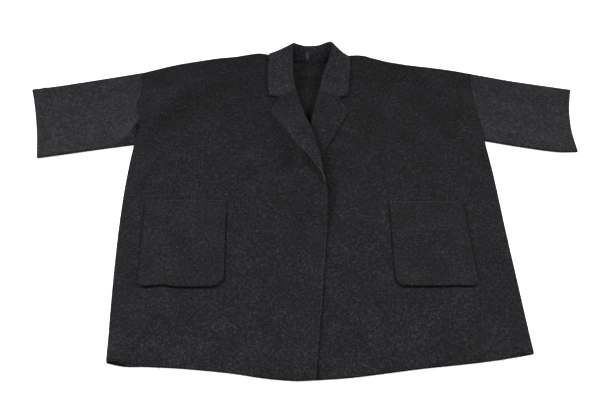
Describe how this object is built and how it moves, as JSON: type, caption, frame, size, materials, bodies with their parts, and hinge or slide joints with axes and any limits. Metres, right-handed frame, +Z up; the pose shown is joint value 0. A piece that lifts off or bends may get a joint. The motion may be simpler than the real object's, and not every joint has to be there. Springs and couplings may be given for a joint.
{
  "type": "wide wool coat laid flat",
  "caption": "Wide unlined wool coat with notched lapels, short dropped sleeves and patch pockets, laid flat and face up.",
  "frame": {"origin": "on the flat underside of the back, at the middle of the coat, where it rests on a surface", "axes": "+X to the wearer's left, across both sleeves; +Y from the hem to the collar; +Z up off the surface, out of the fronts"},
  "size_m": [1.398, 0.918, 0.0404],
  "materials": {
    "melton": "matte milled wool, charcoal",
    "melton_sleeve": "matte milled wool, charcoal, cut across the nap",
    "melton_collar": "matte milled wool, charcoal",
    "loop_cord": "matte twisted cord"
  },
  "bodies": {
    "root": {"back": "melton", "front_right": "melton", "front_left": "melton", "sleeve_right": "melton_sleeve", "sleeve_left": "melton_sleeve", "collar": "melton_collar", "pocket_right": "melton", "pocket_left": "melton", "hanger_loop": "loop_cord"}
  },
  "joints": []
}
